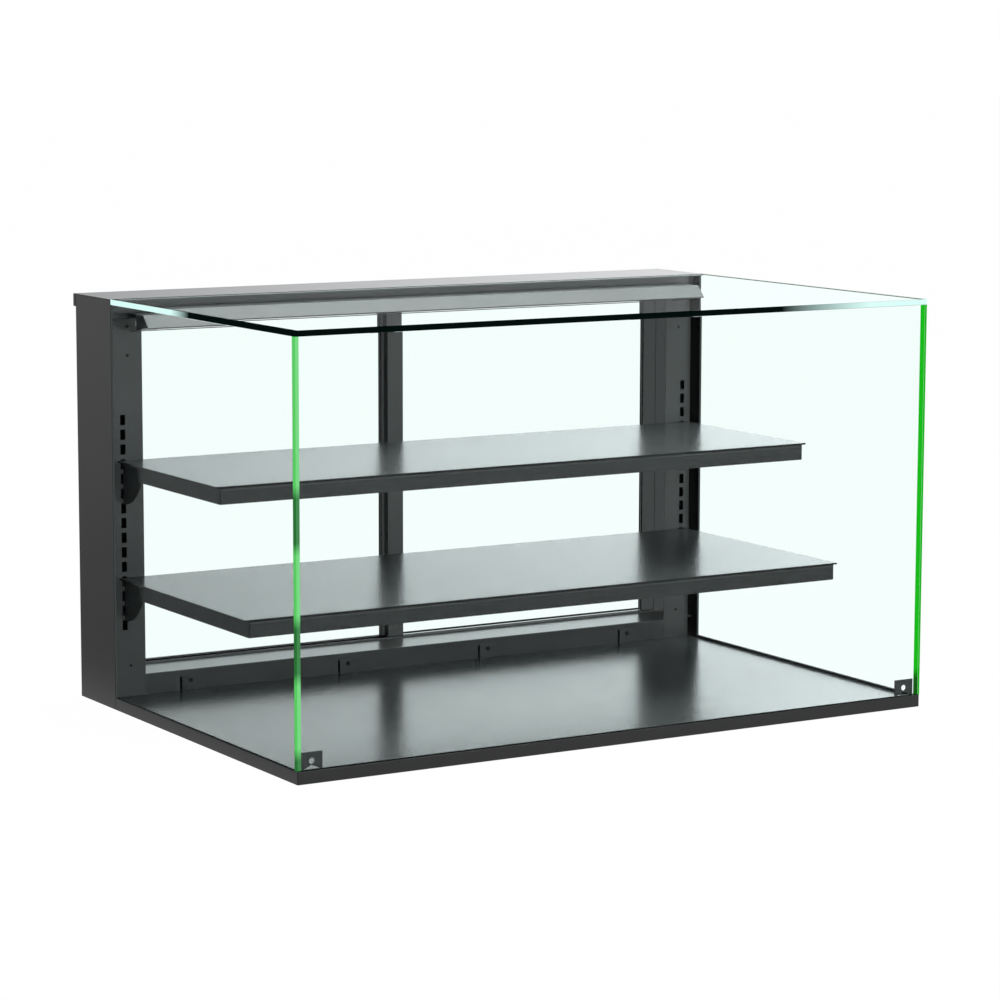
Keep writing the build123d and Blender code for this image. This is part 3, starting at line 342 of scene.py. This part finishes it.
def lamp_pass(nodes, links, output, shader, tint):
    """Let light from lamps and soft light pass a glass shader straight, with its tint."""
    paths = nodes.new("ShaderNodeLightPath")
    either = nodes.new("ShaderNodeMath")
    either.operation = "MAXIMUM"
    clear = nodes.new("ShaderNodeBsdfTransparent")
    clear.inputs["Color"].default_value = (*tint, 1)
    mix = nodes.new("ShaderNodeMixShader")
    links.new(paths.outputs["Is Shadow Ray"], either.inputs[0])
    links.new(paths.outputs["Is Diffuse Ray"], either.inputs[1])
    links.new(either.outputs["Value"], mix.inputs["Fac"])
    links.new(shader, mix.inputs[1])
    links.new(clear.outputs["BSDF"], mix.inputs[2])
    links.new(mix.outputs["Shader"], output.inputs["Surface"])


def clear_glass(name, tint, glossy=GLASS_GLARE):
    """Polished float glass face: bends light, with a faint waviness and very little glare."""
    mat, nodes, links, output = material(name)
    bend = nodes.new("ShaderNodeBsdfRefraction")
    bend.inputs["Color"].default_value = (*tint, 1)
    bend.inputs["Roughness"].default_value = 0.0
    bend.inputs["IOR"].default_value = GLASS_IOR
    glare = nodes.new("ShaderNodeBsdfGlossy")
    glare.inputs["Roughness"].default_value = 0.02
    mix = nodes.new("ShaderNodeMixShader")
    mix.inputs["Fac"].default_value = glossy
    links.new(bend.outputs["BSDF"], mix.inputs[1])
    links.new(glare.outputs["BSDF"], mix.inputs[2])
    wave = noise(nodes, links, 3.0, 1.0)
    relief(nodes, links, wave.outputs["Fac"], bend, 0.02, 0.2 * MM)
    lamp_pass(nodes, links, output, mix.outputs["Shader"], tint)
    return mat


def painted_light_edge(name, outside, inside, outer_stops=None, axis="Z"):
    """Ground edge of float glass with painted light: an emission stands in for the light gathered inside
    the pane that leaves here.

    outside and inside are the colours of the edge's painted light from the air and from within the pane.
    outer_stops is an optional list of (place on the axis, colour) for an edge that changes
    along its length, and replaces outside.
    """
    mat, nodes, links, output = material(name)
    face = nodes.new("ShaderNodeNewGeometry")
    grind = noise(nodes, links, 160.0, 4.0, 0.6)
    if outer_stops:
        outer = banded(nodes, links, outer_stops, axis)
    else:
        outer = tones(nodes, links, grind.outputs["Fac"], [c * EDGE_GRIND for c in outside], outside)
    inner = tones(nodes, links, grind.outputs["Fac"], [c * EDGE_GRIND for c in inside], inside)
    glow = blend_colours(nodes, links, face.outputs["Backfacing"], outer, inner)
    shader = principled(
        nodes, links, output, Base_Color=(0, 0, 0, 1), Roughness=0.35, Specular_IOR_Level=0.0,
        Emission_Strength=1.0,
    )
    links.new(glow, shader.inputs["Emission Color"])
    relief(nodes, links, grind.outputs["Fac"], shader, 0.1, 0.1 * MM)
    return mat


def banded(nodes, links, stops, axis):
    """Colour that changes along one axis through (place, colour) stops in rising order."""
    place = nodes.new("ShaderNodeTexCoord")
    split = nodes.new("ShaderNodeSeparateXYZ")
    links.new(place.outputs["Object"], split.inputs["Vector"])
    start, end = stops[0][0], stops[-1][0]
    share = spread(nodes, links, split.outputs["XYZ".index(axis)], 0, 1, start, end)
    ramp = nodes.new("ShaderNodeValToRGB")
    elements = ramp.color_ramp.elements
    while len(elements) < len(stops):
        elements.new(0.5)
    for element, (where, colour) in zip(elements, stops):
        element.position = (where - start) / (end - start)
        element.color = (*colour, 1)
    links.new(share, ramp.inputs["Fac"])
    return ramp.outputs["Color"]


def named_socket(sockets, identifier):
    """Socket of a node whose sockets share names, such as Mix."""
    return next(socket for socket in sockets if socket.identifier == identifier)


def blend_colours(nodes, links, share, first, second):
    """Mix two colour sockets by a 0-1 socket."""
    mix = nodes.new("ShaderNodeMix")
    mix.data_type = "RGBA"
    links.new(share, named_socket(mix.inputs, "Factor_Float"))
    links.new(first, named_socket(mix.inputs, "A_Color"))
    links.new(second, named_socket(mix.inputs, "B_Color"))
    return named_socket(mix.outputs, "Result_Color")


# ---- Building pieces ----------------------------------------------------------------------------
def add_piece(mesh, name, body):
    """Object for a mesh, riding on a body of the case."""
    piece = bpy.data.objects.new(name, mesh)
    bpy.context.scene.collection.objects.link(piece)
    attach(piece, body)
    return piece


def paint(mesh, *mats):
    """Give a mesh its materials, in slot order."""
    mesh.materials.clear()
    for mat in mats:
        mesh.materials.append(mat)


def applied(mesh, name, *modifiers):
    """Mesh with modifiers applied; each modifier is (type, settings)."""
    helper = bpy.data.objects.new(name + "_helper", mesh)
    bpy.context.scene.collection.objects.link(helper)
    for kind, settings in modifiers:
        modifier = helper.modifiers.new(kind.lower(), kind)
        for key, value in settings.items():
            setattr(modifier, key, value)
    graph = bpy.context.evaluated_depsgraph_get()
    result = bpy.data.meshes.new_from_object(helper.evaluated_get(graph))
    bpy.data.objects.remove(helper)
    result.name = name
    return result


# Sheets with round holes keep their own faces: one large face around a hole would fold over it.
HOLED_NODES = ("glass_clip_left", "glass_clip_right", "deck_upstands")


def softened(node, mat, width=0.3 * MM, segments=2, sharp=38.0):
    """Stand-in for a CAD node with its edges rounded as bent, sawn or moulded edges are."""
    source = NODES[node]
    mesh = source.data.copy()
    work = bmesh.new()
    work.from_mesh(mesh)
    bmesh.ops.remove_doubles(work, verts=work.verts, dist=2e-6)
    if node not in HOLED_NODES:
        bmesh.ops.dissolve_limit(work, angle_limit=math.radians(0.6), verts=work.verts, edges=work.edges)
    work.to_mesh(mesh)
    work.free()
    bevel = {
        "width": width, "segments": segments, "limit_method": "ANGLE",
        "angle_limit": math.radians(sharp), "use_clamp_overlap": True, "miter_outer": "MITER_ARC",
    }
    shade_smooth(mesh)
    even = {"mode": "FACE_AREA", "weight": 100, "keep_sharp": True}
    mesh = applied(mesh, node + "_finished", ("BEVEL", bevel), ("WEIGHTED_NORMAL", even))
    paint(mesh, mat)
    piece = add_piece(mesh, node + "_finished", BODY_OF[node])
    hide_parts(node)
    return piece


def shade_smooth(mesh):
    """Smooth every face and put it in the first material slot."""
    for face in mesh.polygons:
        face.use_smooth = True
        face.material_index = 0


def bevelled_block(name, low, high, arris):
    """Plate with ground arrises. Face material index is its outward axis: 0 X, 1 Y, 2 Z."""
    mesh = bpy.data.meshes.new(name)
    work = bmesh.new()
    bmesh.ops.create_cube(work, size=1.0)
    size = high - low
    middle = (high + low) / 2
    place = Matrix.Translation(middle) @ Matrix.Diagonal((*size, 1.0))
    bmesh.ops.transform(work, matrix=place, verts=work.verts)
    bmesh.ops.bevel(
        work, geom=work.edges[:], offset=arris, segments=2, profile=0.6, affect="EDGES",
        clamp_overlap=True,
    )
    for face in work.faces:
        normal = face.normal
        sizes = [abs(normal.x), abs(normal.y), abs(normal.z)]
        face.material_index = sizes.index(max(sizes))
    work.to_mesh(mesh)
    work.free()
    return mesh


def pane(node, mats, trim_low=(0, 0, 0), trim_high=(0, 0, 0)):
    """Glass pane standing for its CAD node, drawn in a little where it would touch another.

    mats is a list of (axis, side, material); the rest of the pane has the first one.
    """
    low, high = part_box(node)
    low = low + Vector(trim_low)
    high = high - Vector(trim_high)
    mesh = bevelled_block(node + "_pane", low, high, ARRIS)
    paint(mesh, *[entry[2] for entry in mats])
    for face in mesh.polygons:
        face.material_index = pane_slot(face, mats)
    piece = add_piece(mesh, node + "_pane", BODY_OF[node])
    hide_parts(node)
    return piece


def pane_slot(face, mats):
    """Index of the material for a pane's face; arrises go with the edge they belong to."""
    for index, (axis, side, _) in enumerate(mats):
        if side and face.normal["XYZ".index(axis)] * side > 0.35:
            return index
    return 0


# ---- Materials ----------------------------------------------------------------------------------
def shelf_coat(name, dark, light):
    """Powder coat of one shelf, with painted shade and a painted highlight on the hem along its front."""
    return paint_hem_light_and_shade(powder_coat(name + "_powder_coat", dark, light, 0.25, 0.35, 0.03), name + "_panel")


def anodised(name, rough, stretch):
    """Black anodised aluminium, drawn along one axis."""
    return brushed_metal(
        name, (0.0060, 0.0063, 0.0065), (0.0090, 0.0094, 0.0096), rough, 0.0, stretch, 0.35,
    )


def make_materials():
    """Every finish of the case but its glass, by name."""
    # One black powder coat in copies of different lightness: inner, shelf, raised and header are painted
    # lighter than outer, standing in for the light on the parts that wear them.
    outer = ((0.0035, 0.0038, 0.0042), (0.0055, 0.0058, 0.0063))
    inner = ((0.0110, 0.0120, 0.0122), (0.0140, 0.0152, 0.0155))
    shelf = ((0.0068, 0.0074, 0.0076), (0.0088, 0.0095, 0.0098))
    raised = ((0.0200, 0.0215, 0.0218), (0.0240, 0.0258, 0.0262))
    header = ((0.0290, 0.0320, 0.0322), (0.0340, 0.0375, 0.0378))
    return {
        "outer": powder_coat("outer_powder_coat", *outer, 0.33, 0.40),
        "sill": powder_coat("sill_powder_coat", *raised, 0.30, 0.70),
        "header": powder_coat("header_powder_coat", *header, 0.34, 0.95),
        "hood": powder_coat("hood_powder_coat", *inner, 0.32, 0.68),
        "deck": powder_coat("deck_powder_coat", *inner, 0.24, 0.5, 0.02),
        "upper_shelf": shelf_coat("upper_shelf", *shelf),
        "lower_shelf": shelf_coat("lower_shelf", *shelf),
        "bracket": powder_coat("bracket_powder_coat", *inner, 0.30, 0.40),
        # Painted shade where each mask is 0 (post faces into the case, depths seen through the slots,
        # stile sides, track channels), painted front light on their front faces; jamb is the anodising
        # with more painted light.
        "post": paint_light_and_shade(powder_coat("post_powder_coat", *outer, 0.33, 0.40), outward_faces, 0.0),
        "standard": paint_light_and_shade(
            powder_coat("standard_powder_coat", *shelf, 0.30, 0.40), before_standard_web, STANDARD_PAINTED_LIGHT,
        ),
        "stile": paint_light_and_shade(anodised("black_anodised", 0.38, (1, 1, 0.02)), front_faces, STILE_PAINTED_LIGHT),
        "jamb": paint_light_and_shade(anodised("black_jamb", 0.38, (1, 1, 0.02)), front_faces, JAMB_PAINTED_LIGHT),
        "track": paint_light_and_shade(anodised("black_track", 0.40, (0.02, 1, 1)), first_rib, RIB_PAINTED_LIGHT),
        "gasket": moulded("gasket_rubber", (0.012, 0.016, 0.014), (0.02, 0.026, 0.023), 0.6),
        "foot": moulded("foot_rubber", (0.006, 0.006, 0.006), (0.011, 0.011, 0.011), 0.75),
        "screw": brushed_metal(
            "black_oxide", (0.012, 0.012, 0.013), (0.03, 0.03, 0.032), 0.38, 0.8, (1, 1, 1),
        ),
        "white": moulded("white_plastic", (0.78, 0.78, 0.77), (0.84, 0.84, 0.83), 0.4),
        "aluminium": brushed_metal(
            "led_aluminium", (0.62, 0.63, 0.64), (0.78, 0.79, 0.80), 0.3, 1.0, (0.02, 1, 1),
        ),
        "board": moulded("led_board", (0.7, 0.7, 0.68), (0.78, 0.78, 0.76), 0.5, 300.0),
        "opal": moulded("opal_diffuser", (0.82, 0.82, 0.81), (0.88, 0.88, 0.87), 0.3, 200.0, 0.08),
        "nylon": moulded("black_nylon", (0.01, 0.01, 0.01), (0.016, 0.016, 0.016), 0.5),
        "driver": moulded("driver_case", (0.62, 0.62, 0.6), (0.7, 0.7, 0.68), 0.45),
        "inlet": moulded("inlet_plastic", (0.006, 0.006, 0.006), (0.01, 0.01, 0.01), 0.35),
        "contact": brushed_metal(
            "plated_contact", (0.55, 0.47, 0.3), (0.72, 0.63, 0.42), 0.28, 1.0, (1, 0.1, 1),
        ),
        "rocker": moulded("rocker_plastic", (0.006, 0.006, 0.007), (0.01, 0.01, 0.011), 0.28),
    }


BLACK_NODES = {
    "outer": ["base_rail_front", "base_rail_left", "base_rail_right", "top_cap", "rear_cover"],
    "post": ["rear_post_left", "rear_post_right"],
    "standard": ["shelf_standard_left", "shelf_standard_right"],
    "sill": ["rear_sill", "deck_upstands"],
    "header": ["header_channel", "glass_ledge"],
    "hood": ["light_hood", "hood_end_cap_left", "hood_end_cap_right"],
    "deck": ["base_deck"],
    "upper_shelf": ["upper_shelf_panel"],
    "lower_shelf": ["lower_shelf_panel"],
    "bracket": ["upper_bracket_left", "upper_bracket_right", "lower_bracket_left", "lower_bracket_right",
                "glass_clip_left", "glass_clip_right"],
    "stile": ["inner_door_stile_left", "outer_door_stile_left", "outer_door_stile_right"],
    # inner_door_stile_right wears the jamb finish for its stronger painted front light.
    "jamb": ["door_jamb_left", "door_jamb_right", "inner_door_stile_right"],
    "track": ["door_track_lower", "door_track_upper"],
}

OTHER_NODES = {
    "gasket": ["glazing_gasket"],
    "foot": ["rubber_feet", "door_bumpers"],
    "screw": ["sill_screws", "cover_screws"],
    "white": ["led_end_caps"],
    "aluminium": ["led_channel", "led_clips"],
    "board": ["led_board"],
    "opal": ["led_diffuser"],
    "nylon": ["inner_door_glides", "outer_door_glides"],
    "driver": ["led_driver"],
    "inlet": ["power_inlet", "switch_body"],
    "contact": ["inlet_pins"],
    "rocker": ["switch_rocker"],
}


def build_case(mats):
    """Put a finished piece in the place of every CAD node but the glass."""
    for finish, nodes in BLACK_NODES.items():
        for node in nodes:
            softened(node, mats[finish])
    for finish, nodes in OTHER_NODES.items():
        for node in nodes:
            softened(node, mats[finish], 0.2 * MM)


def shelf_bands(light, shade):
    """Stops for an upright edge: painted light, and painted shade level with each black panel behind it.
    """
    stops = []
    for node in BLACK_LEVELS:
        low, high = (corner.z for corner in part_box(node))
        stops.append((low - PAINTED_SHADE_REACH - PAINTED_SHADE_FADE, light))
        stops.append((low - PAINTED_SHADE_REACH, shade))
        stops.append((high + PAINTED_SHADE_REACH, shade))
        stops.append((high + PAINTED_SHADE_REACH + PAINTED_SHADE_FADE, light))
    return stops


def clip_band(light, shade):
    """Stops for the far upright edge, with painted shade where the clip stands behind it."""
    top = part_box("glass_clip_right")[1].z
    return [(top, shade), (top + PAINTED_SHADE_FADE, light)]


def lit_end(axis, start, end, dark, light):
    """Stops for a top edge that turns from painted shade to painted light between two shares of its
    length.
    """
    low, high = (corner["XYZ".index(axis)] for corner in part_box("glass_top"))
    length = high - low
    return [(low + length * start, dark), (low + length * end, light)]


def make_edges():
    """Glass edges by where they are, each with its own painted light and shade."""
    vivid = (0.009, 0.48, 0.010)
    deep = (0.006, 0.10, 0.007)
    black = (0.0012, 0.0045, 0.0036)
    cyan = (0.71, 1.0, 0.955)
    soft = (0.36, 0.50, 0.38)
    pale = (0.80, 0.92, 0.90)
    rear_shade = (0.050, 0.057, 0.057)
    front_stops = lit_end("X", 0.75, 0.9, black, cyan)
    left_stops = lit_end("Y", 0.55, 0.65, black, cyan)
    return {
        "side": painted_light_edge("upright_edge", vivid, vivid, shelf_bands(EDGE_PAINTED_LIGHT, EDGE_PAINTED_SHADE)),
        "butted": painted_light_edge("butted_upright_edge", vivid, vivid, shelf_bands(BUTT_PAINTED_LIGHT, BUTT_PAINTED_SHADE)),
        "far": painted_light_edge("far_upright_edge", vivid, vivid, clip_band(vivid, deep)),
        "top_front": painted_light_edge("top_front_edge", black, black, front_stops, "X"),
        "top_left": painted_light_edge("top_left_edge", black, black, left_stops, "Y"),
        "top_right": painted_light_edge("top_right_edge", soft, soft),
        "door_foot": painted_light_edge("door_foot_edge", pale, pale),
        "dark": painted_light_edge("shaded_edge", black, black),
        "rear": painted_light_edge("rear_upright_edge", rear_shade, rear_shade),
    }


def build_glass(edges):
    """The four panes of the case and the two door panes."""
    tint = (0.9745, 1.0, 0.9940)
    face = clear_glass("pane_glass", tint)
    top_face = clear_glass("top_pane_glass", tint, TOP_GLARE)
    dark = edges["dark"]
    top_and_foot = [("Z", 1, dark), ("Z", -1, dark)]
    pane("glass_front", [("Y", 0, face), ("X", -1, edges["side"]), ("X", 1, edges["far"]), *top_and_foot])
    for node, front in (("glass_left", edges["butted"]), ("glass_right", edges["far"])):
        mats = [("X", 0, face), ("Y", -1, front), ("Y", 1, edges["rear"]), *top_and_foot]
        pane(node, mats, (0, PANE_GAP, 0))
    top_mats = [
        ("Z", 0, top_face), ("X", -1, edges["top_left"]), ("X", 1, edges["top_right"]),
        ("Y", -1, edges["top_front"]), ("Y", 1, dark),
    ]
    pane("glass_top", top_mats, (0, 0, PANE_GAP))
    for node, foot in (("inner_door_glass", edges["door_foot"]), ("outer_door_glass", dark)):
        pane(node, [("Y", 0, face), ("Z", 1, dark), ("Z", -1, foot), ("X", 1, dark), ("X", -1, dark)])


# ---- Studio -------------------------------------------------------------------------------------
def build_floor():
    """Wide plain white floor."""
    mesh = bpy.data.meshes.new("studio_floor")
    work = bmesh.new()
    bmesh.ops.create_grid(work, x_segments=1, y_segments=1, size=FLOOR_SIZE / 2)
    work.to_mesh(mesh)
    work.free()
    floor = bpy.data.objects.new("studio_floor", mesh)
    bpy.context.scene.collection.objects.link(floor)
    mat, nodes, links, output = material("pale_floor")
    shader = principled(
        nodes, links, output, Base_Color=(FLOOR_ALBEDO, FLOOR_ALBEDO, FLOOR_ALBEDO, 1), Roughness=1.0,
        Specular_IOR_Level=0.0, Emission_Color=BACKDROP,
    )
    links.new(floor_glow(nodes, links), shader.inputs["Emission Strength"])
    paint(mesh, mat)


def bounced_ray(nodes, links):
    """1 for light that already met a polished or matt surface, 0 straight from the camera."""
    paths = nodes.new("ShaderNodeLightPath")
    bounced = nodes.new("ShaderNodeMath")
    bounced.operation = "ADD"
    bounced.use_clamp = True
    links.new(paths.outputs["Glossy Depth"], bounced.inputs[0])
    links.new(paths.outputs["Diffuse Depth"], bounced.inputs[1])
    return bounced.outputs["Value"]


def blend_values(nodes, links, share, first, second):
    """Mix two numbers, each a socket or a plain number, by a 0-1 socket."""
    mix = nodes.new("ShaderNodeMix")
    mix.data_type = "FLOAT"
    links.new(share, named_socket(mix.inputs, "Factor_Float"))
    for identifier, value in (("A_Float", first), ("B_Float", second)):
        socket = named_socket(mix.inputs, identifier)
        if isinstance(value, float):
            socket.default_value = value
        else:
            links.new(value, socket)
    return named_socket(mix.outputs, "Result_Float")


def floor_glow(nodes, links):
    """Even white floor, which parts mirror a little dimmer, most of all close by on the left: painted
    shade near the case in its reflections.
    """
    place = world_place(nodes, links)
    left = spread(
        nodes, links, place["X"], MIRRORED_FLOOR_LEFT_FAR, MIRRORED_FLOOR_LEFT_NEAR,
        *MIRRORED_FLOOR_LEFT_SPAN,
    )
    front = spread(
        nodes, links, place["Y"], MIRRORED_FLOOR_FRONT_FAR, MIRRORED_FLOOR_FRONT_NEAR,
        *MIRRORED_FLOOR_FRONT_SPAN,
    )
    side = spread(nodes, links, place["X"], 0, 1, *MIRRORED_FLOOR_SIDE_SPAN)
    mirrored = blend_values(nodes, links, side, left, front)
    return blend_values(nodes, links, bounced_ray(nodes, links), FLOOR_GLOW, mirrored)


def build_world():
    """Flat white where the camera looks, and a soft gradient for light and reflections."""
    world = bpy.data.worlds.new("studio")
    world.use_nodes = True
    bpy.context.scene.world = world
    nodes = world.node_tree.nodes
    links = world.node_tree.links
    nodes.clear()
    output = nodes.new("ShaderNodeOutputWorld")
    place = nodes.new("ShaderNodeTexCoord")
    split = nodes.new("ShaderNodeSeparateXYZ")
    links.new(place.outputs["Generated"], split.inputs["Vector"])
    rear = spread(
        nodes, links, split.outputs["X"], SKY_LEFT, SKY_RIGHT, SKY_LEFT_HEADING, SKY_RIGHT_HEADING,
    )
    behind = spread(nodes, links, split.outputs["Y"], 0, 1, *SKY_TURN)
    glow = blend_values(nodes, links, behind, SKY_FRONT, rear)
    soft = nodes.new("ShaderNodeBackground")
    soft.inputs["Color"].default_value = SKY_TINT
    links.new(glow, soft.inputs["Strength"])
    flat = nodes.new("ShaderNodeBackground")
    flat.inputs["Color"].default_value = BACKDROP
    mix = nodes.new("ShaderNodeMixShader")
    links.new(bounced_ray(nodes, links), mix.inputs["Fac"])
    links.new(flat.outputs["Background"], mix.inputs[1])
    links.new(soft.outputs["Background"], mix.inputs[2])
    links.new(mix.outputs["Shader"], output.inputs["Surface"])


def build_softbox(name, place, aim, size, power):
    """Large rectangular lamp that the camera doesn't see."""
    lamp = bpy.data.lights.new(name, "AREA")
    lamp.shape = "RECTANGLE"
    lamp.size, lamp.size_y = size
    lamp.energy = power
    box = bpy.data.objects.new(name, lamp)
    box.location = place
    box.rotation_euler = (aim - place).to_track_quat("-Z", "Y").to_euler()
    box.visible_camera = False
    box.visible_transmission = False
    bpy.context.scene.collection.objects.link(box)


def build_camera():
    """Camera before the case, a little above it and to its left."""
    yaw, pitch, roll = (math.radians(a) for a in (CAMERA_YAW, CAMERA_PITCH, CAMERA_ROLL))
    forward = Vector((math.sin(yaw) * math.cos(pitch), math.cos(yaw) * math.cos(pitch), math.sin(pitch)))
    right = Vector((math.cos(yaw), -math.sin(yaw), 0))
    up = right.cross(forward)
    turned_right = right * math.cos(roll) + up * math.sin(roll)
    turned_up = up * math.cos(roll) - right * math.sin(roll)
    pose = Matrix((turned_right, turned_up, -forward)).transposed().to_4x4()
    pose.translation = CAMERA_PLACE
    data = bpy.data.cameras.new("camera")
    data.sensor_width = SENSOR
    data.lens = CAMERA_LENS
    data.clip_end = 200.0
    camera = bpy.data.objects.new("camera", data)
    camera.matrix_world = pose
    bpy.context.scene.collection.objects.link(camera)
    bpy.context.scene.camera = camera


bpy.context.scene.view_settings.view_transform = "Standard"
build_case(make_materials())
build_glass(make_edges())
build_floor()
build_world()
build_softbox("overhead", SOFTBOX_PLACE, SOFTBOX_AIM, SOFTBOX_SIZE, SOFTBOX_POWER)
build_camera()
